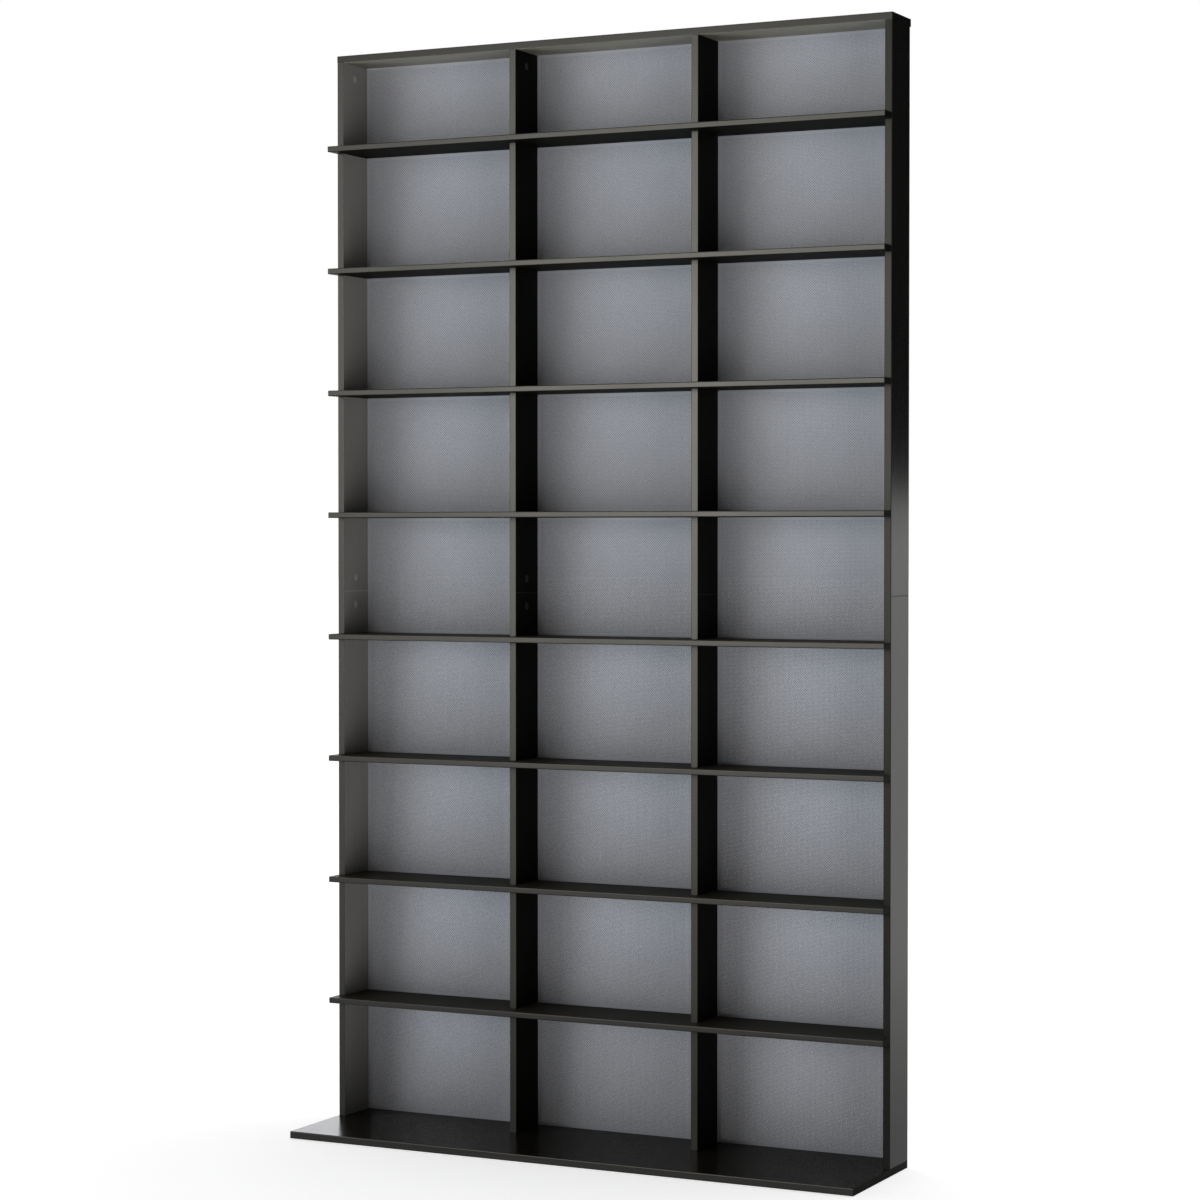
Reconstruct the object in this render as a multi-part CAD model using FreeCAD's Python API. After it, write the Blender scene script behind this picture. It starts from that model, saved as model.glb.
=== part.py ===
"""Three-column media storage tower.

Four thin uprights stand on a wide base panel under a top panel. Each upright is two halves, drawn together
by a two-headed bolt and a pair of cam locks. Comb-shaped shelves slide in from the front: a strip runs in
front of the uprights and tongues sit in shallow grooves between them. Metal panels cover the rear edges.

Millimetres. X runs across the width, Y to the back and Z up. The origin is the middle of the footprint, on
the floor.
"""
import FreeCAD
import Part
import os
from math import cos, pi, sin

Vector = FreeCAD.Vector

# Overall and boards
overall_width = 1003.0
overall_height = 1816.0
shelf_count = 8
top_row_clear = 144.0
upright_thickness = 12.0
upright_depth = 78.0
base_thickness = 12.0
base_overhang = 157.0
top_thickness = 12.0
top_rear_lip = 4.5
shelf_thickness = 9.5
shelf_overhang = 32.0
board_edge_round = 1.5
upright_edge_round = 1.0

# Names from left to right
column_names = ["left", "centre", "right"]
upright_names = ["left_side", "left_divider", "right_divider", "right_side"]

# Shelf grooves
groove_depth = 3.0
groove_play = 0.4
tongue_end_play = 0.4
shelf_stop_gap = 0.2
shelf_back_gap = 1.0

# Metal back
mesh_thickness = 1.0
mesh_joint_gap = 1.0
mesh_side_inset = 1.0
mesh_top_gap = 0.5

# Cam locks and their bolts
cam_diameter = 12.0
cam_skin = 2.6
cam_inset = 23.0
cam_sink = 0.2
cam_play = 0.2
cam_drive_length = 7.0
cam_drive_width = 1.4
cam_drive_depth = 1.2
bolt_rod_diameter = 4.0
bolt_head_diameter = 5.6
bolt_head_length = 2.4
bolt_thread_diameter = 5.0
bolt_play = 0.3

# Dowels and base screws
dowel_diameter = 6.0
dowel_length = 30.0
dowel_edge_inset = 15.0
dowel_play = 0.15
dowel_end_play = 0.5
screw_diameter = 4.0
screw_grip = 24.0
screw_head_diameter = 8.4
screw_head_height = 2.4
screw_tip_diameter = 1.0
screw_tip_length = 4.0
screw_sink = 0.3
screw_play = 0.2
screw_edge_inset = 18.0

# Blind holes under the top panel leave this much board above them
top_skin = 3.0

# Hardware inside the boards, and its bores, are turned with a few flat sides
hidden_sides = 8

# Heights
top_underside = overall_height - top_thickness
row_pitch = (top_underside - top_row_clear - base_thickness) / shelf_count
shelf_floors = [base_thickness + row * row_pitch - shelf_thickness for row in range(1, shelf_count + 1)]
seam_height = (base_thickness + top_underside) / 2
mesh_low = base_thickness / 2
mesh_seam = shelf_floors[shelf_count // 2 - 1] + shelf_thickness / 2
mesh_high = top_underside - mesh_top_gap
blind_depth = top_thickness - top_skin
dowel_in_top = blind_depth - dowel_end_play

# Depths, from the front of the base to the back of the top
overall_depth = base_overhang + upright_depth + top_rear_lip
base_front = -overall_depth / 2
upright_front = base_front + base_overhang
upright_back = upright_front + upright_depth
top_back = upright_back + top_rear_lip
shelf_front = upright_front - shelf_overhang
cam_depth = (upright_front + upright_back) / 2
dowel_depths = [upright_front + dowel_edge_inset, upright_back - dowel_edge_inset]
screw_depths = [upright_front + screw_edge_inset, upright_back - screw_edge_inset]

# Widths
column_count = len(column_names)
right_end = overall_width / 2
left_end = -right_end
column_pitch = (overall_width - upright_thickness) / column_count
upright_centres = [left_end + upright_thickness / 2 + line * column_pitch for line in range(column_count + 1)]
cam_height = upright_thickness - cam_sink - cam_skin


def box(x0, x1, y0, y1, z0, z1):
    """A block between two corners."""
    return Part.makeBox(x1 - x0, y1 - y0, z1 - z0, Vector(x0, y0, z0))


def turned(profile, x, y):
    """A few-sided solid about an upright axis, through (diameter, height) rings from the bottom up."""
    turns = [2 * pi * side / hidden_sides for side in range(hidden_sides)]
    rings = [
        [Vector(x + diameter / 2 * cos(turn), y + diameter / 2 * sin(turn), height) for turn in turns]
        for diameter, height in profile
    ]
    outlines = [rings[0], rings[-1]]
    for lower, upper in zip(rings, rings[1:]):
        for side in range(hidden_sides):
            outlines.append([lower[side - 1], lower[side], upper[side], upper[side - 1]])
    faces = [Part.Face(Part.makePolygon(points + points[:1])) for points in outlines]
    solid = Part.Solid(Part.Shell(faces))
    if solid.Volume < 0:
        solid.reverse()
    return solid


def bore(profile, x, y, play):
    """The cutter for a turned piece. The play is clear all round, up to the middle of the flat sides."""
    corner_factor = 1 / cos(pi / hidden_sides)
    return turned([((diameter + 2 * play) * corner_factor, height) for diameter, height in profile], x, y)


def eased_face(front, back, low, high, radius, place):
    """A board's section with its two front corners rounded. place(depth, side) gives the point in space."""

    def arc(centre_side, start_angle):
        angles = [start_angle, start_angle + pi / 4, start_angle + pi / 2]
        points = [place(front + radius - radius * sin(a), centre_side + radius * cos(a)) for a in angles]
        return Part.Arc(*points).toShape()

    edges = [
        Part.makeLine(place(back, low), place(back, high)),
        Part.makeLine(place(back, high), place(front + radius, high)),
        arc(high - radius, 0),
        Part.makeLine(place(front, high - radius), place(front, low + radius)),
        arc(low + radius, pi / 2),
        Part.makeLine(place(front + radius, low), place(back, low)),
    ]
    return Part.Face(Part.Wire(edges))


def panel(front, back, low, high):
    """A flat board over the whole width with a softened front edge."""

    def place(depth, side):
        return Vector(left_end, depth, side)

    section = eased_face(front, back, low, high, board_edge_round, place)
    return section.extrude(Vector(overall_width, 0, 0))


def span(start, way, length):
    """Two coordinates in rising order, from a start and a signed length."""
    return sorted([start, start + way * length])


def column_faces(line):
    """The faces of an upright that look into a column: pairs of the face's X and the way it looks."""
    centre = upright_centres[line]
    faces = []
    if line > 0:
        faces.append((centre - upright_thickness / 2, -1))
    if line < column_count:
        faces.append((centre + upright_thickness / 2, 1))
    return faces


def cam_face(line):
    """The face that carries the cam locks. Left of the middle it looks right, and right of it left."""
    way = 1 if 2 * line < column_count else -1
    return upright_centres[line] + way * upright_thickness / 2, way


def shelf_groove(face_x, way, floor):
    """The cutter for one shelf's groove, open to the front and the back."""
    x0, x1 = span(face_x, -way, groove_depth)
    return box(x0, x1, upright_front, upright_back, floor, floor + shelf_thickness + groove_play)


def cam_recess(line, height):
    """The cutter for a cam lock's round pocket."""
    face_x, way = cam_face(line)
    start = Vector(face_x, cam_depth, height)
    return Part.makeCylinder(cam_diameter / 2 + cam_play, cam_sink + cam_height, start, Vector(-way, 0, 0))


def bolt_bore(line, end, way):
    """The cutter for a bolt in one end of an upright, just past the cam. way points into the board."""
    low, high = span(end, way, cam_inset + bolt_head_length / 2 + bolt_play)
    profile = [(bolt_head_diameter, low), (bolt_head_diameter, high)]
    return bore(profile, upright_centres[line], cam_depth, bolt_play)


def dowel_bores(line, end, way, depth):
    """The cutters for the two dowels in one end of a board."""
    low, high = span(end, way, depth + dowel_end_play)
    profile = [(dowel_diameter, low), (dowel_diameter, high)]
    return [bore(profile, upright_centres[line], y, dowel_play) for y in dowel_depths]


def screw_profile():
    """A countersunk base screw from its head up to its tip."""
    head_top = screw_sink + screw_head_height
    tip = base_thickness + screw_grip
    return [
        (screw_head_diameter, screw_sink),
        (screw_diameter, head_top),
        (screw_diameter, tip - screw_tip_length),
        (screw_tip_diameter, tip),
    ]


def upright_half(line, low, high):
    """One half of an upright with its shelf grooves."""
    x = upright_centres[line]
    half = upright_thickness / 2

    def place(depth, side):
        return Vector(side, depth, low)

    section = eased_face(upright_front, upright_back, x - half, x + half, upright_edge_round, place)
    board = section.extrude(Vector(0, 0, high - low))
    grooves = []
    for face_x, way in column_faces(line):
        grooves += [shelf_groove(face_x, way, floor) for floor in shelf_floors]
    return board.cut(grooves)


def lower_half(line):
    """A lower upright half: screws enter from the base, and the seam's joint is at its upper end."""
    cutters = [cam_recess(line, seam_height - cam_inset), bolt_bore(line, seam_height, -1)]
    cutters += dowel_bores(line, seam_height, -1, dowel_length / 2)
    shank = [(screw_diameter, base_thickness), (screw_diameter, base_thickness + screw_grip + screw_play)]
    cutters += [bore(shank, upright_centres[line], y, screw_play) for y in screw_depths]
    return upright_half(line, base_thickness, seam_height).cut(cutters)


def upper_half(line):
    """An upper upright half, with joints at the seam and under the top."""
    cutters = [cam_recess(line, seam_height + cam_inset), cam_recess(line, top_underside - cam_inset)]
    cutters += [bolt_bore(line, seam_height, 1), bolt_bore(line, top_underside, -1)]
    cutters += dowel_bores(line, seam_height, 1, dowel_length / 2)
    cutters += dowel_bores(line, top_underside, -1, dowel_length - dowel_in_top)
    return upright_half(line, seam_height, top_underside).cut(cutters)


def base_panel():
    """The board on the floor, with a countersunk hole for each screw."""
    hole = [(screw_head_diameter, 0)] + screw_profile()[:2] + [(screw_diameter, base_thickness)]
    cutters = [bore(hole, x, y, screw_play) for x in upright_centres for y in screw_depths]
    return panel(base_front, upright_back, 0, base_thickness).cut(cutters)


def top_panel():
    """The board over the uprights, with blind holes for bolts and dowels in its underside."""
    thread = [(bolt_thread_diameter, top_underside), (bolt_thread_diameter, top_underside + blind_depth)]
    cutters = [bore(thread, x, cam_depth, bolt_play) for x in upright_centres]
    for line in range(column_count + 1):
        cutters += dowel_bores(line, top_underside, 1, dowel_in_top)
    return panel(upright_front, top_back, top_underside, overall_height).cut(cutters)


def shelf(floor):
    """A comb: one strip in front of the uprights and a tongue in each column."""
    ceiling = floor + shelf_thickness
    strip = panel(shelf_front, upright_front - shelf_stop_gap, floor, ceiling)
    reach = groove_depth - tongue_end_play
    tongue_front = shelf_front + shelf_overhang / 2
    tongue_back = upright_back - shelf_back_gap
    tongues = []
    for line in range(column_count):
        left = upright_centres[line] + upright_thickness / 2 - reach
        right = upright_centres[line + 1] - upright_thickness / 2 + reach
        tongues.append(box(left, right, tongue_front, tongue_back, floor, ceiling))
    return strip.fuse(tongues).removeSplitter()


def mesh_panel(column, low, high):
    """One metal back panel. Neighbours meet over the middle of a divider."""
    left = upright_centres[column] + mesh_joint_gap / 2
    right = upright_centres[column + 1] - mesh_joint_gap / 2
    if column == 0:
        left = left_end + mesh_side_inset
    if column == column_count - 1:
        right = right_end - mesh_side_inset
    return box(left, right, upright_back, upright_back + mesh_thickness, low, high)


def cam_lock(line, height, way):
    """A cam: a drum with a chamber for a bolt's head, a mouth for its rod and a cross-shaped drive.

    way points from the cam to the end of the board that the bolt comes through.
    """
    face_x, look = cam_face(line)
    x = upright_centres[line]
    start = Vector(face_x - look * cam_sink, cam_depth, height)
    drum = Part.makeCylinder(cam_diameter / 2, cam_height, start, Vector(-look, 0, 0))
    chamber = bolt_head_diameter / 2 + bolt_play
    rise = bolt_head_length / 2 + bolt_play
    mouth = bolt_rod_diameter / 2 + bolt_play
    mouth_low, mouth_high = span(height, way, cam_diameter)
    drive_x0, drive_x1 = span(start.x, -look, cam_drive_depth)
    cutters = [
        box(x - chamber, x + chamber, cam_depth - chamber, cam_depth + chamber, height - rise, height + rise),
        box(x - mouth, x + mouth, cam_depth - mouth, cam_depth + mouth, mouth_low, mouth_high),
    ]
    for width, tall in ((cam_drive_length, cam_drive_width), (cam_drive_width, cam_drive_length)):
        y0, y1 = cam_depth - width / 2, cam_depth + width / 2
        cutters.append(box(drive_x0, drive_x1, y0, y1, height - tall / 2, height + tall / 2))
    return drum.cut(cutters)


def bolt_head(height):
    """The two rings of a bolt's head about a cam's centre."""
    half = bolt_head_length / 2
    return [(bolt_head_diameter, height - half), (bolt_head_diameter, height + half)]


def seam_bolt(line):
    """A bolt with a head in the cam below the seam and one in the cam above it."""
    lower = bolt_head(seam_height - cam_inset)
    upper = bolt_head(seam_height + cam_inset)
    rod = [(bolt_rod_diameter, lower[1][1]), (bolt_rod_diameter, upper[0][1])]
    return turned(lower + rod + upper, upright_centres[line], cam_depth)


def top_bolt(line):
    """A bolt with its head in the top cam and its thread in the top panel."""
    head = bolt_head(top_underside - cam_inset)
    rod = [(bolt_rod_diameter, head[1][1]), (bolt_rod_diameter, top_underside)]
    thread_end = top_underside + blind_depth - bolt_play
    thread = [(bolt_thread_diameter, top_underside), (bolt_thread_diameter, thread_end)]
    return turned(head + rod + thread, upright_centres[line], cam_depth)


def dowels(low):
    """Two dowels for each upright, from a height up."""
    profile = [(dowel_diameter, low), (dowel_diameter, low + dowel_length)]
    return [turned(profile, x, y) for x in upright_centres for y in dowel_depths]


lines = range(column_count + 1)
seam_cams = [(seam_height - cam_inset, 1), (seam_height + cam_inset, -1)]
parts = {"base_panel": base_panel(), "top_panel": top_panel()}
for line, name in enumerate(upright_names):
    parts[f"{name}_lower"] = lower_half(line)
    parts[f"{name}_upper"] = upper_half(line)
for number, floor in enumerate(reversed(shelf_floors), start=1):
    parts[f"shelf_{number}"] = shelf(floor)
for column, name in enumerate(column_names):
    parts[f"mesh_{name}_lower"] = mesh_panel(column, mesh_low, mesh_seam - mesh_joint_gap / 2)
    parts[f"mesh_{name}_upper"] = mesh_panel(column, mesh_seam + mesh_joint_gap / 2, mesh_high)
groups = {
    "top_cam_locks": [cam_lock(line, top_underside - cam_inset, 1) for line in lines],
    "seam_cam_locks": [cam_lock(line, height, way) for line in lines for height, way in seam_cams],
    "top_cam_bolts": [top_bolt(line) for line in lines],
    "seam_cam_bolts": [seam_bolt(line) for line in lines],
    "top_dowels": dowels(top_underside + dowel_in_top - dowel_length),
    "seam_dowels": dowels(seam_height - dowel_length / 2),
    "base_screws": [turned(screw_profile(), x, y) for x in upright_centres for y in screw_depths],
}
for name, solids in groups.items():
    parts[name] = Part.Compound(solids)

os.makedirs("parts", exist_ok=True)
for name, shape in parts.items():
    shape.exportStep(f"parts/{name}.step")
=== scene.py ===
"""Finishes, metal back, back screws and photo studio of a three-column media storage tower.

All sizes are in metres. X runs across the width, Y to the back and Z up. The boards, the shelves and the
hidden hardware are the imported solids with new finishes. The plain back plates are replaced by plates with
windows of expanded metal.
"""

import math
from collections import namedtuple

import bmesh
import bpy
from bpy.props import (
    FloatProperty,
    FloatVectorProperty,
    IntProperty,
    PointerProperty,
)
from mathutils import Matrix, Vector


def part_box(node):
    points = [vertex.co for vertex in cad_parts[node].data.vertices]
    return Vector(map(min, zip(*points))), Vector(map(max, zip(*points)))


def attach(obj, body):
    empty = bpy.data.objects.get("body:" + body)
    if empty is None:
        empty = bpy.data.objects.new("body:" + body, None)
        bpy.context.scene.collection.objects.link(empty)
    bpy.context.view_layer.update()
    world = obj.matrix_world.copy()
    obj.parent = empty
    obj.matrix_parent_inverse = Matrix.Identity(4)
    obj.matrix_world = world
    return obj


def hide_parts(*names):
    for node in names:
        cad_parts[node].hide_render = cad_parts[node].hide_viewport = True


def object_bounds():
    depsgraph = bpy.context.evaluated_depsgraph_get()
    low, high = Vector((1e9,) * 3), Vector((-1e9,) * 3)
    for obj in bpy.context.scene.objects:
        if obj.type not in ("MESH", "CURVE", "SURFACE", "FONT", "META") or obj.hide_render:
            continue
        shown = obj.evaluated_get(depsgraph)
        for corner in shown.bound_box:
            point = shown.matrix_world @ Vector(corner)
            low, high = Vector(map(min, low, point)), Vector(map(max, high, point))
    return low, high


bl_info = {
    "name": "Media Storage Tower",
    "version": (1, 0, 0),
    "blender": (4, 5, 0),
    "location": "View3D > Sidebar > Tower",
    "description": "Dresses a media storage tower and sets up its studio",
    "category": "Object",
}

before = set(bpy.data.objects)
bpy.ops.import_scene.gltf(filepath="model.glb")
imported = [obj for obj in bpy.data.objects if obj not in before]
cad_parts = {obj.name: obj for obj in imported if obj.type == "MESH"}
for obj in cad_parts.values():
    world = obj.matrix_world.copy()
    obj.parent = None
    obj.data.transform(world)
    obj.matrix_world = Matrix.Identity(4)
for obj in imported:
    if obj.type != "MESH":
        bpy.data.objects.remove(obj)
CAD_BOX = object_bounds()

CARCASS = "carcass"

# Uprights and columns from left to right, their halves and the shelves from the floor up
UPRIGHTS = ("left_side", "left_divider", "right_divider", "right_side")
COLUMNS = ("left", "centre", "right")
HALVES = ("lower", "upper")
SHELVES = sorted((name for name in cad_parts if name.startswith("shelf_")), reverse=True)

# Front and back of the metal back's plates
PLATE_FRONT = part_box("mesh_left_lower")[0].y
PLATE_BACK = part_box("mesh_left_lower")[1].y

DIAGONAL = math.sqrt(2)
FRONT = (0.0, -1.0, 0.0)
RIGHT = (1.0, 0.0, 0.0)
UP = (0.0, 0.0, 1.0)
DOWN = (0.0, 0.0, -1.0)
EVEN = (1.0, 1.0, 1.0)
BLACK = (0.0, 0.0, 0.0, 1.0)
WHITE = (1.0, 1.0, 1.0, 1.0)

# The butt joint between the two halves of an upright
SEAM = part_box("left_side_lower")[1].z
SEAM_WIDTH = 0.0016

# Laminate: its look on one face, the axis that its grain runs along, repeats per metre of grain, pores and
# smudges, and what these add to roughness and relief
Finish = namedtuple("Finish", "colour streak gloss roughness")
ALONG_X = 0
ALONG_Z = 2
GRAIN_ACROSS = 90.0
GRAIN_ALONG = 3.0
PORES_PER_GRAIN = 9
SMUDGES = 7.0
GRAIN_ROUGHNESS = 0.05
SMUDGE_ROUGHNESS = 0.08
PORE_STRENGTH = 0.10
PORE_DEPTH = 0.0002

# A face takes a direction's finish where the cosine to that direction is above this
FACING_LIMIT = 0.6

# Tint of the laminate's sheen, and of its colour on most level faces
WARM_SHEEN = (1.0, 0.98, 0.89, 1.0)
WARM_TINT = (1.0, 0.94, 0.79)

# Gloss of the laminate for viewers that can't follow its zones
PLAIN_GLOSS = 0.3

# Gloss of upward faces that are seen face on. It is full up to the first slant and gone at the second, where
# 0 is face on and 1 is edge on.
TOP_SHEEN = 0.35
SHEEN_SLANTS = (0.45, 0.75)

# Metal: repeats per metre of its rolled grain, colour left in its dark clouds, and its relief
ROLLED_GRAIN = (400.0, 400.0, 12.0)
CLOUD_SHADE = 0.85
METAL_STRENGTH = 0.05
METAL_DEPTH = 0.0001

# Painted shade inside the openings of the expanded metal, and how far it reaches to both sides of the
# middle of its depth, as a share of that depth
DEEP_SHADE = 0.8
DEEP_REACH = 1 / 3

# Cast zinc of the cam locks: repeats per metre of its clouds, how dark they are, and its metallic share. The
# pale ones end this far right of the left side's inner face.
ZINC_CLOUDS = 160.0
ZINC_SHADE = 0.4
ZINC_METALLIC = 0.35
PALE_CAMS_REACH = 0.02

# Dowel wood: repeats per metre of its fibres, colour left in the dark ones, and their relief
WOOD_FIBRES = (900.0, 900.0, 40.0)
FIBRE_SHADE = 0.62
FIBRE_STRENGTH = 0.2
FIBRE_DEPTH = 0.0001

# Screw head: sides of its circle, its rim as a share of the height, crown and recess as shares of the radius,
# and how far the rim is lifted into the crown as a share of the rim
HEAD_SIDES = 20
RIM_SHARE = 0.35
CROWN_SHARE = 0.62
RECESS_SHARE = 0.26
RIM_LIFT = 0.01

# Rows whose heights differ by less than this are alike
ROW_TOLERANCE = 1e-4

# Wide lights: turn to the right from the front and rise over the horizon, both in degrees, and colour. All
# have the same spread in degrees and the same distance from the origin.
LIGHT_SPREAD = 36.0
LIGHT_DISTANCE = 5.0
WIDE_LIGHTS = {
    "light_left": (-45.0, 0.0, (0.96, 0.98, 1.0)),
    "light_low_left": (-63.0, -30.0, (0.70, 0.86, 1.0)),
    "light_right": (63.0, -15.0, EVEN),
}

# Half the floor's side, its gap under the base panel, and the camera's sensor in millimetres
FLOOR_HALF = 60.0
FLOOR_GAP = 0.0005
SENSOR_WIDTH = 36.0


def colour_property(label, about, red, green, blue):
    """A colour that a user may change."""
    return FloatVectorProperty(
        name=label,
        description=about,
        subtype="COLOR",
        size=4,
        min=0.0,
        max=1.0,
        default=(red, green, blue, 1.0),
    )


class TowerFinish(bpy.types.PropertyGroup):
    """Colours of the boards, the metal back and the hardware."""

    face_colour: colour_property("Face", "Glossy black of the outer faces", 0.0025, 0.0025, 0.0025)
    face_streak: colour_property("Face grain", "Paler grain of the outer faces", 0.005, 0.0048, 0.0045)
    matt_colour: colour_property("Matt", "Matt black of base, shelves and dividers", 0.009, 0.0086, 0.0076)
    matt_streak: colour_property("Matt grain", "Paler grain of the matt black", 0.022, 0.0205, 0.0175)
    edge_colour: colour_property("Edge", "Satin edging on the narrow faces", 0.011, 0.0105, 0.0095)
    edge_streak: colour_property("Edge grain", "Paler grain of the satin edging", 0.018, 0.017, 0.0155)
    # Painted light: black laminate drawn pale grey inside the left side and under the top
    painted_light_colour: colour_property("Inner", "Satin face inside the left side and the top", 0.092, 0.089, 0.083)
    painted_light_streak: colour_property("Inner grain", "Paler grain of the satin inner faces", 0.127, 0.122, 0.115)
    metal_colour: colour_property("Metal", "Silver of the metal back", 0.410, 0.419, 0.448)
    cam_colour: colour_property("Cams", "Dull zinc of cam locks in the left side", 0.30, 0.30, 0.29)
    cap_colour: colour_property("Caps", "Dark zinc of all other cam locks", 0.012, 0.011, 0.010)
    screw_colour: colour_property("Screws", "Bright zinc of the back's screws", 0.36, 0.36, 0.37)
    beech_colour: colour_property("Beech", "Bare wood of the dowels", 0.55, 0.37, 0.20)


class TowerBack(bpy.types.PropertyGroup):
    """Sizes of the metal back and of its screws."""

    side_margin: FloatProperty(
        name="Side margin",
        description="Plain metal between an upright and the expanded metal",
        unit="LENGTH",
        min=0.0,
        default=0.006,
    )
    end_margin: FloatProperty(
        name="End margin",
        description="Plain metal between a shelf and the expanded metal",
        unit="LENGTH",
        min=0.0,
        default=0.005,
    )
    pitch: FloatProperty(
        name="Pitch",
        description="Distance along a row from one opening to the next",
        unit="LENGTH",
        min=0.002,
        default=0.0042,
    )
    strand_width: FloatProperty(
        name="Strand width",
        description="Width of one strand of the expanded metal",
        unit="LENGTH",
        min=0.0002,
        default=0.00235,
    )
    strand_depth: FloatProperty(
        name="Strand depth",
        description="Thickness of one strand",
        unit="LENGTH",
        min=0.0001,
        default=0.0006,
    )
    strand_inset: FloatProperty(
        name="Strand inset",
        description="How far the strands lie under both faces of the plate",
        unit="LENGTH",
        min=0.0,
        default=0.00005,
    )
    screw_diameter: FloatProperty(
        name="Screw head",
        description="Diameter of the heads of the back's screws",
        unit="LENGTH",
        min=0.002,
        default=0.0082,
    )
    screw_height: FloatProperty(
        name="Screw height",
        description="Height of the heads of the back's screws",
        unit="LENGTH",
        min=0.0005,
        default=0.0022,
    )
    screw_inset: FloatProperty(
        name="Screw inset",
        description="Distance from the end of a plate to its first screw",
        unit="LENGTH",
        min=0.01,
        default=0.045,
    )
    screws_per_edge: IntProperty(
        name="Screws per edge",
        description="Screws along one side edge of a plate",
        min=2,
        default=4,
    )


class TowerStage(bpy.types.PropertyGroup):
    """Camera and light."""

    camera_place: FloatVectorProperty(
        name="Camera place",
        description="Where the camera stands",
        subtype="TRANSLATION",
        size=3,
        default=(2.1873, -4.3981, 1.0046),
    )
    camera_yaw: FloatProperty(
        name="Camera yaw",
        description="How far the camera is turned to its left from the depth axis",
        subtype="ANGLE",
        default=0.4589,
    )
    camera_pitch: FloatProperty(
        name="Camera pitch",
        description="How far the camera looks up",
        subtype="ANGLE",
        default=-0.0216,
    )
    camera_lens: FloatProperty(
        name="Lens",
        description="Focal length in millimetres on a 36 mm sensor",
        min=1.0,
        default=91.0,
    )
    softbox_power: FloatProperty(
        name="Softbox",
        description="Power of the softbox that the front edges mirror",
        subtype="POWER",
        min=0.0,
        default=98.0,
    )
    card_power: FloatProperty(
        name="Back card",
        description="Power of the card that the base panel's left end mirrors",
        subtype="POWER",
        min=0.0,
        default=12.5,
    )
    left_strength: FloatProperty(
        name="Left light",
        description="Strength of the wide soft light from the left",
        min=0.0,
        default=1.6,
    )
    low_left_strength: FloatProperty(
        name="Low left light",
        description="Strength of the wide soft light from the left and below",
        min=0.0,
        default=2.6,
    )
    right_strength: FloatProperty(
        name="Right light",
        description="Strength of the wide soft light from the right",
        min=0.0,
        default=1.85,
    )
    front_room: FloatProperty(
        name="Room in front",
        description="Soft light of the room in front of the tower",
        min=0.0,
        default=0.03,
    )
    back_room: FloatProperty(
        name="Room behind",
        description="Soft light of the room behind the tower",
        min=0.0,
        default=0.8,
    )


def feed(tree, socket, value):
    """Link a socket to another one, or give it a plain value."""
    if isinstance(value, bpy.types.NodeSocket):
        tree.links.new(value, socket)
    else:
        socket.default_value = value


def add(tree, kind, settings=None, **inputs):
    """A new node with its settings, and inputs given by name with _ for a space."""
    made = tree.nodes.new(kind)
    for name, value in (settings or {}).items():
        setattr(made, name, value)
    for name, value in inputs.items():
        feed(tree, made.inputs[name.replace("_", " ")], value)
    return made


def calc(tree, operation, *values):
    """The result of one step of arithmetic."""
    made = tree.nodes.new("ShaderNodeMath")
    made.operation = operation
    for socket, value in zip(made.inputs, values):
        feed(tree, socket, value)
    return made.outputs[0]


def vector(tree, x=0.0, y=0.0, z=0.0):
    """Three numbers as one vector."""
    return add(tree, "ShaderNodeCombineXYZ", X=x, Y=y, Z=z).outputs[0]


def new_material(name):
    """An empty node material with its shader."""
    material = bpy.data.materials.new(name)
    material.use_nodes = True
    tree = material.node_tree
    return material, tree, tree.nodes["Principled BSDF"]


def streaks(tree, stretch, scale, detail):
    """Noise on the piece's own coordinates, drawn out along its grain."""
    place = add(tree, "ShaderNodeTexCoord").outputs["Object"]
    mapped = add(tree, "ShaderNodeMapping", Vector=place, Scale=stretch).outputs[0]
    return add(tree, "ShaderNodeTexNoise", Vector=mapped, Scale=scale, Detail=detail).outputs[0]


def ramp(tree, value, given, wanted):
    """A value that runs evenly over one range, turned to another range and held at its ends."""
    made = add(tree, "ShaderNodeMapRange", Value=value, From_Min=given[0], From_Max=given[1])
    feed(tree, made.inputs["To Min"], wanted[0])
    feed(tree, made.inputs["To Max"], wanted[1])
    return made.outputs[0]


def spread(tree, value, low, high):
    """A value from 0 to 1 turned to a range."""
    return ramp(tree, value, given=(0.0, 1.0), wanted=(low, high))


def blend(tree, factor, first, second):
    """A value or a colour between two others."""
    made = tree.nodes.new("ShaderNodeMix")
    plain = isinstance(second, float)
    made.data_type = "FLOAT" if plain else "RGBA"
    # Places of the factor and of both values among the node's inputs
    sockets = (0, 2, 3) if plain else (0, 6, 7)
    for place, value in zip(sockets, (factor, first, second)):
        feed(tree, made.inputs[place], value)
    return made.outputs[0 if plain else 2]


def relief(tree, shader, height, strength, distance):
    """Fine relief on a shader."""
    bump = add(tree, "ShaderNodeBump", Height=height, Strength=strength, Distance=distance)
    tree.links.new(bump.outputs[0], shader.inputs["Normal"])


def facing(tree, direction):
    """Where a surface faces a direction."""
    towards = tree.nodes.new("ShaderNodeVectorMath")
    towards.operation = "DOT_PRODUCT"
    feed(tree, towards.inputs[0], add(tree, "ShaderNodeNewGeometry").outputs["True Normal"])
    feed(tree, towards.inputs[1], direction)
    return calc(tree, "GREATER_THAN", towards.outputs["Value"], FACING_LIMIT)


def on_line(tree, height):
    """Where a surface crosses a thin line at a height."""
    place = add(tree, "ShaderNodeTexCoord").outputs["Object"]
    level = add(tree, "ShaderNodeSeparateXYZ", Vector=place).outputs["Z"]
    return calc(tree, "COMPARE", level, height, SEAM_WIDTH / 2)


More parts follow.
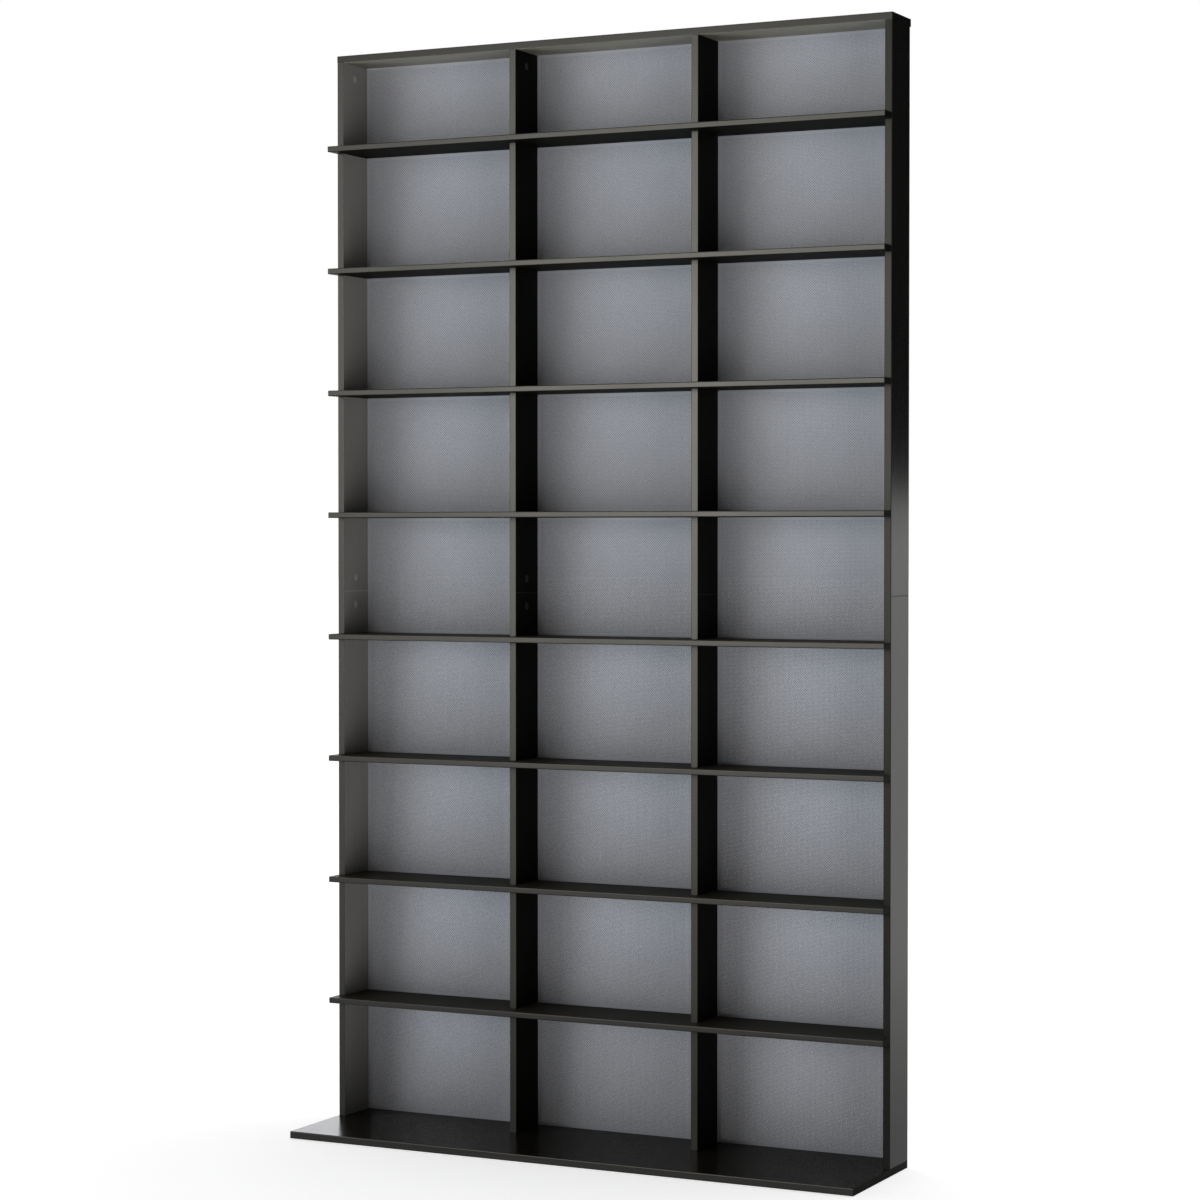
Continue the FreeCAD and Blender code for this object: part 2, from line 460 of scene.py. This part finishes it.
def face_on(tree, direction, most):
    """A value that is greatest where a surface with this direction is seen face on, and 0 at a slant."""
    slant = add(tree, "ShaderNodeLayerWeight", Blend=0.5).outputs["Facing"]
    seen = ramp(tree, slant, given=SHEEN_SLANTS, wanted=(most, 0.0))
    return calc(tree, "MULTIPLY", seen, facing(tree, direction))


def laminate(name, grain_axis, finish, zones, sheen=0.0):
    """Laminate with a printed grain and fine pores.

    A zone is a finish for surfaces that face a direction, or for a thin line at a height. Later zones lie
    on top. The sheen is the gloss of upward faces that are seen face on.
    """
    material, tree, shader = new_material(name)
    stretch = [GRAIN_ACROSS] * 3
    stretch[grain_axis] = GRAIN_ALONG
    grain = streaks(tree, stretch, scale=1.0, detail=6.0)
    pores = streaks(tree, [PORES_PER_GRAIN * part for part in stretch], scale=1.0, detail=2.0)
    smudges = streaks(tree, EVEN, scale=SMUDGES, detail=3.0)
    colour, streak, gloss, roughness = finish
    for where, other in zones:
        inside = on_line(tree, where) if isinstance(where, float) else facing(tree, where)
        colour = blend(tree, inside, colour, other.colour)
        streak = blend(tree, inside, streak, other.streak)
        gloss = blend(tree, inside, gloss, other.gloss)
        roughness = blend(tree, inside, roughness, other.roughness)
    feed(tree, shader.inputs["Base Color"], blend(tree, grain, colour, streak))
    uneven = calc(tree, "MULTIPLY_ADD", smudges, SMUDGE_ROUGHNESS, roughness)
    uneven = calc(tree, "MULTIPLY_ADD", grain, GRAIN_ROUGHNESS, uneven)
    feed(tree, shader.inputs["Roughness"], uneven)
    if sheen:
        gloss = calc(tree, "MAXIMUM", gloss, face_on(tree, UP, sheen))
    shader.inputs["Specular IOR Level"].default_value = PLAIN_GLOSS
    feed(tree, shader.inputs["Specular IOR Level"], gloss)
    shader.inputs["Specular Tint"].default_value = WARM_SHEEN
    relief(tree, shader, pores, PORE_STRENGTH, PORE_DEPTH)
    return material


def satin_metal(name, colour, metallic, gloss, roughness, cloud_scale, deep=None):
    """Metal with a rolled grain and a cloudy gloss. A low metallic share stands for silver paint.

    Where a depth and a reach around it are given, the metal's colour is darker there as painted shade.
    """
    material, tree, shader = new_material(name)
    rolled = streaks(tree, ROLLED_GRAIN, scale=1.0, detail=3.0)
    clouds = streaks(tree, EVEN, scale=cloud_scale, detail=2.0)
    darker = [CLOUD_SHADE * part for part in colour[:3]] + [1.0]
    tone = blend(tree, clouds, darker, list(colour))
    if deep:
        place = add(tree, "ShaderNodeTexCoord").outputs["Object"]
        depth = add(tree, "ShaderNodeSeparateXYZ", Vector=place).outputs["Y"]
        inside = calc(tree, "COMPARE", depth, *deep)
        tone = blend(tree, calc(tree, "MULTIPLY", inside, DEEP_SHADE), tone, BLACK)
    feed(tree, shader.inputs["Base Color"], tone)
    shader.inputs["Metallic"].default_value = metallic
    shader.inputs["Specular IOR Level"].default_value = gloss
    feed(tree, shader.inputs["Roughness"], spread(tree, rolled, *roughness))
    relief(tree, shader, rolled, METAL_STRENGTH, METAL_DEPTH)
    return material


def cam_zinc(name, pale, dark, border):
    """Dull zinc that is pale left of a place across the width and dark right of it."""
    material, tree, shader = new_material(name)
    place = add(tree, "ShaderNodeTexCoord").outputs["Object"]
    across = add(tree, "ShaderNodeSeparateXYZ", Vector=place).outputs["X"]
    clouds = streaks(tree, EVEN, scale=ZINC_CLOUDS, detail=3.0)
    tone = blend(tree, calc(tree, "GREATER_THAN", across, border), list(pale), list(dark))
    darker = blend(tree, ZINC_SHADE, tone, BLACK)
    feed(tree, shader.inputs["Base Color"], blend(tree, clouds, darker, tone))
    shader.inputs["Metallic"].default_value = ZINC_METALLIC
    feed(tree, shader.inputs["Roughness"], spread(tree, clouds, low=0.35, high=0.55))
    relief(tree, shader, clouds, METAL_STRENGTH, METAL_DEPTH)
    return material


def raw_beech(name, colour):
    """Bare wood with fibres along the dowels."""
    material, tree, shader = new_material(name)
    fibres = streaks(tree, WOOD_FIBRES, scale=1.0, detail=4.0)
    darker = [FIBRE_SHADE * part for part in colour[:3]] + [1.0]
    feed(tree, shader.inputs["Base Color"], blend(tree, fibres, darker, list(colour)))
    feed(tree, shader.inputs["Roughness"], spread(tree, fibres, low=0.55, high=0.75))
    relief(tree, shader, fibres, FIBRE_STRENGTH, FIBRE_DEPTH)
    return material


def dress(nodes, material):
    """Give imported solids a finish."""
    for name in nodes:
        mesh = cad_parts[name].data
        mesh.materials.clear()
        mesh.materials.append(material)


def new_piece(name, mesh, material):
    """A finished piece of the carcass."""
    piece = bpy.data.objects.new(name, mesh)
    bpy.context.scene.collection.objects.link(piece)
    mesh.materials.clear()
    mesh.materials.append(material)
    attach(piece, CARCASS)
    return piece


def row_openings():
    """Lowest and highest Z of every row, from the floor up."""
    lows = [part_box("base_panel")[1].z] + [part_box(name)[1].z for name in SHELVES]
    highs = [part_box(name)[0].z for name in SHELVES] + [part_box("top_panel")[0].z]
    return list(zip(lows, highs))


def column_opening(column):
    """Lowest and highest X between two uprights."""
    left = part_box(f"{UPRIGHTS[column]}_lower")[1].x
    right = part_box(f"{UPRIGHTS[column + 1]}_lower")[0].x
    return left, right


def windows_of(node, column, back):
    """The windows of one plate: their X limits, and the Z limits of each."""
    low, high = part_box(node)
    left, right = column_opening(column)
    rows = []
    for bottom, top in row_openings():
        if low.z < (bottom + top) / 2 < high.z:
            rows.append((bottom + back.end_margin, top - back.end_margin))
    return (left + back.side_margin, right - back.side_margin), rows


def pierced_plate(node, across, rows):
    """A closed flat plate with a rectangular window for each row."""
    low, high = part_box(node)
    columns = [low.x, *across, high.x]
    heights = [low.z] + [edge for row in rows for edge in row] + [high.z]
    plate = bmesh.new()
    grid = [[plate.verts.new((x, PLATE_FRONT, z)) for z in heights] for x in columns]
    for i in range(len(columns) - 1):
        for j in range(len(heights) - 1):
            # The windows are every second cell of the middle column
            if i == 1 and j % 2 == 1:
                continue
            plate.faces.new((grid[i][j], grid[i + 1][j], grid[i + 1][j + 1], grid[i][j + 1]))
    back = bmesh.ops.extrude_face_region(plate, geom=plate.faces[:])["geom"]
    moved = [item for item in back if isinstance(item, bmesh.types.BMVert)]
    bmesh.ops.translate(plate, verts=moved, vec=(0, PLATE_BACK - PLATE_FRONT, 0))
    bmesh.ops.recalc_face_normals(plate, faces=plate.faces[:])
    return plate


def new_tree(name, sockets):
    """An empty geometry tree with named inputs and one geometry output."""
    tree = bpy.data.node_groups.new(name, "GeometryNodeTree")
    tree.interface.new_socket("Geometry", in_out="OUTPUT", socket_type="NodeSocketGeometry")
    for label, kind in sockets.items():
        tree.interface.new_socket(label, in_out="INPUT", socket_type=f"NodeSocket{kind}")
    given = tree.nodes.new("NodeGroupInput").outputs
    result = tree.nodes.new("NodeGroupOutput").inputs[0]
    return tree, given, result


def grown_mesh(tree, **values):
    """The plain mesh that a geometry tree makes from its named inputs, with _ for a space."""
    holder = bpy.data.objects.new("Holder", bpy.data.meshes.new("Holder"))
    bpy.context.scene.collection.objects.link(holder)
    modifier = holder.modifiers.new(tree.name, "NODES")
    modifier.node_group = tree
    sockets = {item.name: item.identifier for item in tree.interface.items_tree if item.in_out == "INPUT"}
    for name, value in values.items():
        modifier[sockets[name.replace("_", " ")]] = value
    evaluated = holder.evaluated_get(bpy.context.evaluated_depsgraph_get())
    mesh = bpy.data.meshes.new_from_object(evaluated)
    old = holder.data
    bpy.data.objects.remove(holder)
    bpy.data.meshes.remove(old)
    return mesh


def finish_tree(tree, geometry, material, result):
    """Plain geometry with its material at the end of a tree."""
    plain = add(tree, "GeometryNodeRealizeInstances", Geometry=geometry).outputs[0]
    painted = add(tree, "GeometryNodeSetMaterial", Geometry=plain, Material=material).outputs[0]
    tree.links.new(painted, result)


def lattice_tree():
    """Expanded metal: two layers of slanting strands in one or more equal windows, one above the other."""
    tree, given, result = new_tree("ExpandedMetal", {
        "Corner": "Vector",
        "Width": "Float",
        "Height": "Float",
        "Windows": "Int",
        "Window Step": "Float",
        "Pitch": "Float",
        "Strand Width": "Float",
        "Strand Depth": "Float",
        "Layer Step": "Float",
        "Tuck": "Float",
        "Material": "Material",
    })
    width, height, pitch = given["Width"], given["Height"], given["Pitch"]
    count = calc(tree, "CEIL", calc(tree, "DIVIDE", calc(tree, "ADD", width, height), pitch))
    points = add(tree, "GeometryNodeMeshLine", Count=count).outputs[0]
    # A strand of the first layer lies where X plus Z is its reach, and ends at the borders of the window
    index = tree.nodes.new("GeometryNodeInputIndex").outputs[0]
    reach = calc(tree, "MULTIPLY", calc(tree, "ADD", index, 0.5), pitch)
    start = calc(tree, "MAXIMUM", calc(tree, "SUBTRACT", reach, height), 0.0)
    end = calc(tree, "MINIMUM", width, reach)
    middle = calc(tree, "MULTIPLY", calc(tree, "ADD", start, end), 0.5)
    rise = calc(tree, "SUBTRACT", reach, middle)
    slant = calc(tree, "MULTIPLY", calc(tree, "SUBTRACT", end, start), DIAGONAL)
    length = calc(tree, "MAXIMUM", calc(tree, "MULTIPLY_ADD", given["Tuck"], 2.0, slant), 0.0)
    size = vector(tree, 1.0, given["Strand Depth"], given["Strand Width"])
    strand = add(tree, "GeometryNodeMeshCube", Size=size).outputs[0]
    layers = tree.nodes.new("GeometryNodeJoinGeometry")
    # The second layer is the first one's mirror image, behind it
    places = (
        (vector(tree, middle, 0.0, rise), math.pi / 4),
        (vector(tree, calc(tree, "SUBTRACT", width, middle), given["Layer Step"], rise), -math.pi / 4),
    )
    for place, turn in places:
        placed = add(tree, "GeometryNodeSetPosition", Geometry=points, Position=place).outputs[0]
        laid = add(
            tree,
            "GeometryNodeInstanceOnPoints",
            Points=placed,
            Instance=strand,
            Rotation=(0.0, turn, 0.0),
            Scale=vector(tree, length, 1.0, 1.0),
        )
        tree.links.new(laid.outputs[0], layers.inputs[0])
    step = vector(tree, z=given["Window Step"])
    corners = add(
        tree, "GeometryNodeMeshLine", Count=given["Windows"], Start_Location=given["Corner"], Offset=step
    ).outputs[0]
    windows = add(tree, "GeometryNodeInstanceOnPoints", Points=corners, Instance=layers.outputs[0]).outputs[0]
    finish_tree(tree, windows, given["Material"], result)
    return tree


def screw_tree():
    """A column of pan-head screws that point to the front, with a cross recess."""
    tree, given, result = new_tree("BackScrews", {
        "Lowest": "Vector",
        "Count": "Int",
        "Step": "Float",
        "Diameter": "Float",
        "Height": "Float",
        "Material": "Material",
    })
    radius = calc(tree, "MULTIPLY", given["Diameter"], 0.5)
    rim = calc(tree, "MULTIPLY", given["Height"], RIM_SHARE)
    crown = calc(tree, "SUBTRACT", given["Height"], rim)
    flange = add(tree, "GeometryNodeMeshCylinder", Vertices=HEAD_SIDES, Radius=radius, Depth=rim).outputs[0]
    dome = add(
        tree,
        "GeometryNodeMeshCone",
        Vertices=HEAD_SIDES,
        Radius_Top=calc(tree, "MULTIPLY", radius, CROWN_SHARE),
        Radius_Bottom=radius,
        Depth=crown,
    ).outputs[0]
    raised = add(
        tree,
        "GeometryNodeTransform",
        Geometry=dome,
        Translation=vector(tree, z=calc(tree, "MULTIPLY", rim, 0.5)),
    ).outputs[0]
    seated = add(
        tree,
        "GeometryNodeTransform",
        Geometry=flange,
        Translation=vector(tree, z=calc(tree, "MULTIPLY", rim, RIM_LIFT)),
    ).outputs[0]
    head = tree.nodes.new("GeometryNodeMeshBoolean")
    head.operation = "UNION"
    tree.links.new(raised, head.inputs[1])
    tree.links.new(seated, head.inputs[1])
    slot_thin = calc(tree, "MULTIPLY", radius, RECESS_SHARE)
    cut = tree.nodes.new("GeometryNodeMeshBoolean")
    cut.operation = "DIFFERENCE"
    tree.links.new(head.outputs[0], cut.inputs[0])
    for x, y in ((radius, slot_thin), (slot_thin, radius)):
        bar = add(tree, "GeometryNodeMeshCube", Size=vector(tree, x, y, given["Height"])).outputs[0]
        lifted = add(
            tree, "GeometryNodeTransform", Geometry=bar, Translation=vector(tree, z=given["Height"])
        ).outputs[0]
        tree.links.new(lifted, cut.inputs[1])
    upright = vector(tree, z=given["Step"])
    points = add(
        tree, "GeometryNodeMeshLine", Count=given["Count"], Start_Location=given["Lowest"], Offset=upright
    ).outputs[0]
    screws = add(
        tree,
        "GeometryNodeInstanceOnPoints",
        Points=points,
        Instance=cut.outputs[0],
        Rotation=(-math.pi / 2, 0.0, 0.0),
    ).outputs[0]
    finish_tree(tree, screws, given["Material"], result)
    return tree


def join_meshes(name, meshes, start=None):
    """One mesh from several, which are then removed."""
    work = start or bmesh.new()
    for mesh in meshes:
        work.from_mesh(mesh)
        bpy.data.meshes.remove(mesh)
    joined = bpy.data.meshes.new(name)
    work.to_mesh(joined)
    work.free()
    return joined


def toned(finish, share, tint=EVEN):
    """A finish with its colours made paler or darker by a share, and tinted."""
    tones = []
    for tone in (finish.colour, finish.streak):
        tones.append([share * part * hue for part, hue in zip(tone, tint)] + [1.0])
    colour, streak = tones
    return finish._replace(colour=colour, streak=streak)


def board_finishes(finish):
    """The finishes of the boards by name."""
    face = (list(finish.face_colour), list(finish.face_streak))
    matt = (list(finish.matt_colour), list(finish.matt_streak))
    edge = (list(finish.edge_colour), list(finish.edge_streak))
    inner = (list(finish.painted_light_colour), list(finish.painted_light_streak))
    # Painted shade: the right side's front edge drawn darker than the other edging
    painted_shade_edge = (list(finish.face_colour), list(finish.edge_colour))
    satin = Finish(*matt, gloss=0.06, roughness=0.45)
    return {
        "face": Finish(*face, gloss=0.45, roughness=0.12),
        "base": toned(Finish(*matt, gloss=0.018, roughness=0.16), share=0.97, tint=WARM_TINT),
        "matt": satin,
        # Painted shade: a near-black copy of the matt black, on dividers and on shelves' ends and backs
        "dark": toned(satin, share=0.12)._replace(gloss=0.03),
        "edge": Finish(*edge, gloss=0.3, roughness=0.32),
        "painted_shade_edge": Finish(*painted_shade_edge, gloss=0.13, roughness=0.32),
        # Painted light: a pale grey copy of the black laminate, inside the left side and under the top
        "inner": Finish(*inner, gloss=0.4, roughness=0.40),
    }


class TOWER_OT_boards(bpy.types.Operator):
    """Give the base, the top, the sides and the dividers their laminate"""

    bl_idname = "tower.boards"
    bl_label = "Boards"

    def execute(self, context):
        finishes = board_finishes(context.scene.tower_finish)
        face, inner = finishes["face"], finishes["inner"]
        front = (FRONT, finishes["edge"])
        # Painted shade: the base panel's right end is drawn darker than its matt black
        base_zones = [front, (RIGHT, toned(finishes["matt"], share=0.25))]
        base = laminate("black_laminate_base", ALONG_X, finishes["base"], base_zones, TOP_SHEEN)
        dress(["base_panel"], base)
        top_front = (FRONT, finishes["edge"]._replace(gloss=0.2))
        # Painted light: the top's underside is drawn paler than the painted light inside the left side
        top_under = (DOWN, toned(inner, share=1.68, tint=WARM_TINT))
        dress(["top_panel"], laminate("black_laminate_top", ALONG_X, face, [top_front, top_under]))
        dark_line = (SEAM, face._replace(gloss=0.08))
        # A still paler line at the seam on the left side, built from the painted light of its inner face
        pale_line = (SEAM, toned(inner, share=1.6))
        # Painted shade on the right side's front edge
        painted_shade_front = (FRONT, finishes["painted_shade_edge"])
        # Painted light on the left side's inner face
        left_zones = [(RIGHT, inner), pale_line, front]
        sides = {
            "left_side": laminate("black_laminate_left", ALONG_Z, face, left_zones),
            "right_side": laminate("black_laminate_right", ALONG_Z, face, [dark_line, painted_shade_front]),
        }
        # Painted shade: the dividers take the near-black shaded copy of the matt black
        divider = laminate("black_laminate_divider", ALONG_Z, finishes["dark"], [dark_line, front])
        for name in UPRIGHTS:
            dress([f"{name}_{half}" for half in HALVES], sides.get(name, divider))
        return {"FINISHED"}


class TOWER_OT_shelves(bpy.types.Operator):
    """Give the loose shelves their laminate"""

    bl_idname = "tower.shelves"
    bl_label = "Shelves"

    def execute(self, context):
        finishes = board_finishes(context.scene.tower_finish)
        matt = finishes["matt"]
        front = (FRONT, finishes["edge"]._replace(gloss=0.27))
        top = (UP, toned(matt, share=0.95, tint=WARM_TINT)._replace(gloss=0.05))
        # Painted shade: the shelves' undersides are drawn darker than their matt black
        under = (DOWN, toned(matt, share=0.25, tint=WARM_TINT)._replace(gloss=0.01))
        # Painted shade: the shelves' ends and backs take the near-black shaded copy
        shelf = laminate("black_laminate_shelf", ALONG_X, finishes["dark"], [front, top, under], TOP_SHEEN)
        dress(SHELVES, shelf)
        return {"FINISHED"}


class TOWER_OT_metal_back(bpy.types.Operator):
    """Replace the plain back plates by plates with windows of expanded metal"""

    bl_idname = "tower.metal_back"
    bl_label = "Metal back"

    def execute(self, context):
        finish, back = context.scene.tower_finish, context.scene.tower_back
        depth = PLATE_BACK - PLATE_FRONT - 2 * back.strand_inset
        layer_step = depth - back.strand_depth
        # Painted shade: the colour is darker in the middle of the lattice's depth
        deep = ((PLATE_FRONT + PLATE_BACK) / 2, DEEP_REACH * depth)
        metal = satin_metal(
            "silver_metal",
            finish.metal_colour,
            metallic=0.03,
            gloss=0.08,
            roughness=(0.48, 0.60),
            cloud_scale=9.0,
            deep=deep,
        )
        tree = lattice_tree()
        layer_front = PLATE_FRONT + back.strand_inset + back.strand_depth / 2
        for column, name in enumerate(COLUMNS):
            for half in HALVES:
                node = f"mesh_{name}_{half}"
                (left, right), rows = windows_of(node, column, back)
                # Windows of one height are grown together, and a shorter one by itself
                tall = rows[0][1] - rows[0][0]
                runs = [[row for row in rows if abs(row[1] - row[0] - tall) < ROW_TOLERANCE]]
                runs.append([row for row in rows if row not in runs[0]])
                lattices = []
                for run in filter(None, runs):
                    lattices.append(grown_mesh(
                        tree,
                        Corner=(left, layer_front, run[0][0]),
                        Width=right - left,
                        Height=run[0][1] - run[0][0],
                        Windows=len(run),
                        Window_Step=run[1][0] - run[0][0] if len(run) > 1 else 0.0,
                        Pitch=back.pitch,
                        Strand_Width=back.strand_width,
                        Strand_Depth=back.strand_depth,
                        Layer_Step=layer_step,
                        Tuck=back.strand_width,
                        Material=metal,
                    ))
                mesh = join_meshes(f"back_{name}_{half}", lattices, pierced_plate(node, (left, right), rows))
                piece = new_piece(f"back_{name}_{half}", mesh, metal)
                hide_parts(node)
        return {"FINISHED"}


class TOWER_OT_back_screws(bpy.types.Operator):
    """Fix the metal back to the uprights with screws"""

    bl_idname = "tower.back_screws"
    bl_label = "Back screws"

    def execute(self, context):
        finish, back = context.scene.tower_finish, context.scene.tower_back
        zinc = satin_metal(
            "zinc_screw",
            finish.screw_colour,
            metallic=1.0,
            gloss=0.5,
            roughness=(0.25, 0.40),
            cloud_scale=60.0,
        )
        tree = screw_tree()
        columns = []
        for name in UPRIGHTS:
            low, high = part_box(f"{name}_lower")
            for half in HALVES:
                plate_low, plate_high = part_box(f"mesh_centre_{half}")
                first = plate_low.z + back.screw_inset
                last = plate_high.z - back.screw_inset
                columns.append(grown_mesh(
                    tree,
                    Lowest=((low.x + high.x) / 2, PLATE_BACK, first),
                    Count=back.screws_per_edge,
                    Step=(last - first) / (back.screws_per_edge - 1),
                    Diameter=back.screw_diameter,
                    Height=back.screw_height,
                    Material=zinc,
                ))
        new_piece("back_screws", join_meshes("back_screws", columns), zinc)
        return {"FINISHED"}


class TOWER_OT_hardware(bpy.types.Operator):
    """Give cam locks, bolts, base screws and dowels their finishes"""

    bl_idname = "tower.hardware"
    bl_label = "Hardware"

    def execute(self, context):
        finish = context.scene.tower_finish
        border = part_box("left_side_lower")[1].x + PALE_CAMS_REACH
        zinc = cam_zinc("zinc_cam", finish.cam_colour, finish.cap_colour, border)
        fasteners = ("top_cam_locks", "seam_cam_locks", "top_cam_bolts", "seam_cam_bolts", "base_screws")
        dress(fasteners, zinc)
        dress(("top_dowels", "seam_dowels"), raw_beech("beech", finish.beech_colour))
        return {"FINISHED"}


def studio_world(front, back):
    """A white room for what the camera and mirrors see, and softer light for the rest."""
    world = bpy.data.worlds.new("Studio")
    world.use_nodes = True
    tree = world.node_tree
    tree.nodes.clear()
    ray = tree.nodes.new("ShaderNodeLightPath").outputs
    seen = calc(tree, "MAXIMUM", ray["Is Camera Ray"], ray["Is Transmission Ray"])
    direct = calc(tree, "MAXIMUM", seen, ray["Is Glossy Ray"])
    way = add(tree, "ShaderNodeTexCoord").outputs["Generated"]
    depth = add(tree, "ShaderNodeSeparateXYZ", Vector=way).outputs["Y"]
    soft = ramp(tree, depth, given=(-0.2, 0.2), wanted=(front, back))
    strength = spread(tree, direct, soft, 1.0)
    sky = add(tree, "ShaderNodeBackground", Color=WHITE, Strength=strength)
    tree.links.new(sky.outputs[0], add(tree, "ShaderNodeOutputWorld").inputs[0])
    bpy.context.scene.world = world


def pale_floor():
    """A wide white floor that keeps a soft shadow near the tower and melts into the room far away."""
    material, tree, shader = new_material("pale_floor")
    shader.inputs["Base Color"].default_value = (0.86, 0.86, 0.86, 1.0)
    shader.inputs["Roughness"].default_value = 0.9
    shader.inputs["Specular IOR Level"].default_value = 0.0
    shader.inputs["Emission Color"].default_value = WHITE
    ray = tree.nodes.new("ShaderNodeLightPath").outputs
    place = add(tree, "ShaderNodeTexCoord").outputs["Object"]
    away = add(tree, "ShaderNodeVectorMath", {"operation": "LENGTH"}, Vector=place).outputs["Value"]
    white = ramp(tree, away, given=(0.5, 2.5), wanted=(0.68, 0.74))
    mirror = ramp(tree, away, given=(0.7, 2.8), wanted=(0.0, 0.40))
    mirrored = calc(tree, "MULTIPLY", ray["Is Glossy Ray"], mirror)
    glow = calc(tree, "MULTIPLY_ADD", ray["Is Camera Ray"], white, mirrored)
    feed(tree, shader.inputs["Emission Strength"], glow)
    material.cycles.emission_sampling = "NONE"
    half = FLOOR_HALF
    low = CAD_BOX[0].z - FLOOR_GAP
    corners = [(-half, -half, low), (half, -half, low), (half, half, low), (-half, half, low)]
    floor = stage_plane("floor", corners, material)
    floor.visible_shadow = False


def black_flag():
    """A black card behind the right side that darkens what its upper half mirrors."""
    material, _, shader = new_material("black_flag")
    shader.inputs["Base Color"].default_value = BLACK
    shader.inputs["Specular IOR Level"].default_value = 0.0
    low, high = 1.11, 7.0
    left, right = (-1.2, 5.4), (5.8, 2.0)
    corners = [(*left, low), (*right, low), (*right, high), (*left, high)]
    card = stage_plane("black_flag", corners, material)
    card.visible_camera = False
    card.visible_diffuse = False
    card.visible_transmission = False
    card.visible_shadow = False


def stage_plane(name, corners, material):
    """A flat sheet of the studio."""
    mesh = bpy.data.meshes.new(name)
    mesh.from_pydata(corners, [], [(0, 1, 2, 3)])
    mesh.materials.append(material)
    sheet = bpy.data.objects.new(name, mesh)
    bpy.context.scene.collection.objects.link(sheet)
    return sheet


def aim(item, target):
    """Turn a light or a camera to look at a point."""
    item.rotation_euler = (Vector(target) - item.location).to_track_quat("-Z", "Y").to_euler()


def new_light(name, kind, place, target, power, colour):
    """A light that looks at a point and that the camera doesn't see."""
    light = bpy.data.lights.new(name, kind)
    light.energy = power
    light.color = colour
    item = bpy.data.objects.new(name, light)
    item.location = place
    bpy.context.scene.collection.objects.link(item)
    aim(item, target)
    item.visible_camera = False
    return item


def panel_light(name, place, target, side, power, colour):
    """A square light that only shows as a sheen."""
    item = new_light(name, "AREA", place, target, power, colour)
    item.data.shape = "SQUARE"
    item.data.size = side
    item.visible_diffuse = False
    return item


def softbox(power):
    """The light at the front left that the front edges mirror."""
    place, target = (-1.2, -3.14, 1.43), (0.0, 0.0, 1.25)
    panel_light("softbox", place, target, side=1.3, power=power, colour=(1.0, 0.98, 0.95))


def back_card(power):
    """The light behind on the left that the base panel's left end mirrors."""
    place, target = (-2.1, 2.4, 0.6), (-0.45, -0.05, 0.0)
    item = panel_light("back_card", place, target, side=1.0, power=power, colour=(0.95, 0.96, 1.0))
    item.visible_transmission = False


def wide_light(name, strength):
    """A far, wide and soft light that mirrors don't show."""
    degrees_turn, degrees_rise, colour = WIDE_LIGHTS[name]
    turn, rise = math.radians(degrees_turn), math.radians(degrees_rise)
    away = Vector((math.sin(turn) * math.cos(rise), -math.cos(turn) * math.cos(rise), math.sin(rise)))
    item = new_light(name, "SUN", LIGHT_DISTANCE * away, (0.0, 0.0, 0.0), strength, colour)
    item.data.angle = math.radians(LIGHT_SPREAD)
    item.visible_glossy = False


class TOWER_OT_stage(bpy.types.Operator):
    """Set up the floor, the room, the lights and the camera"""

    bl_idname = "tower.stage"
    bl_label = "Stage"

    def execute(self, context):
        stage = context.scene.tower_stage
        context.scene.view_settings.view_transform = "Standard"
        studio_world(stage.front_room, stage.back_room)
        pale_floor()
        black_flag()
        softbox(stage.softbox_power)
        back_card(stage.card_power)
        wide_light("light_left", stage.left_strength)
        wide_light("light_low_left", stage.low_left_strength)
        wide_light("light_right", stage.right_strength)
        lens = bpy.data.cameras.new("camera")
        lens.sensor_width = SENSOR_WIDTH
        lens.lens = stage.camera_lens
        camera = bpy.data.objects.new("camera", lens)
        camera.location = stage.camera_place
        yaw, pitch = stage.camera_yaw, stage.camera_pitch
        ahead = Vector((-math.sin(yaw) * math.cos(pitch), math.cos(yaw) * math.cos(pitch), math.sin(pitch)))
        context.scene.collection.objects.link(camera)
        aim(camera, camera.location + ahead)
        context.scene.camera = camera
        return {"FINISHED"}


class TOWER_PT_panel(bpy.types.Panel):
    """Buttons and values of the tower"""

    bl_idname = "TOWER_PT_panel"
    bl_label = "Media Storage Tower"
    bl_space_type = "VIEW_3D"
    bl_region_type = "UI"
    bl_category = "Tower"

    def draw(self, context):
        scene = context.scene
        for operator in OPERATORS:
            self.layout.operator(operator.bl_idname)
        for group in (scene.tower_finish, scene.tower_back, scene.tower_stage):
            column = self.layout.column()
            for name in group.__annotations__:
                column.prop(group, name)


OPERATORS = (
    TOWER_OT_boards,
    TOWER_OT_shelves,
    TOWER_OT_metal_back,
    TOWER_OT_back_screws,
    TOWER_OT_hardware,
    TOWER_OT_stage,
)
GROUPS = {"tower_finish": TowerFinish, "tower_back": TowerBack, "tower_stage": TowerStage}


def register():
    """Add the classes and the scene's values."""
    for item in (*GROUPS.values(), *OPERATORS, TOWER_PT_panel):
        bpy.utils.register_class(item)
    for name, group in GROUPS.items():
        setattr(bpy.types.Scene, name, PointerProperty(type=group))


def unregister():
    """Take the classes and the scene's values away."""
    for name in GROUPS:
        delattr(bpy.types.Scene, name)
    for item in reversed((*GROUPS.values(), *OPERATORS, TOWER_PT_panel)):
        bpy.utils.unregister_class(item)


def main():
    """Build everything."""
    register()
    for operator in OPERATORS:
        group, name = operator.bl_idname.split(".")
        getattr(getattr(bpy.ops, group), name)()


if __name__ == "__main__":
    main()
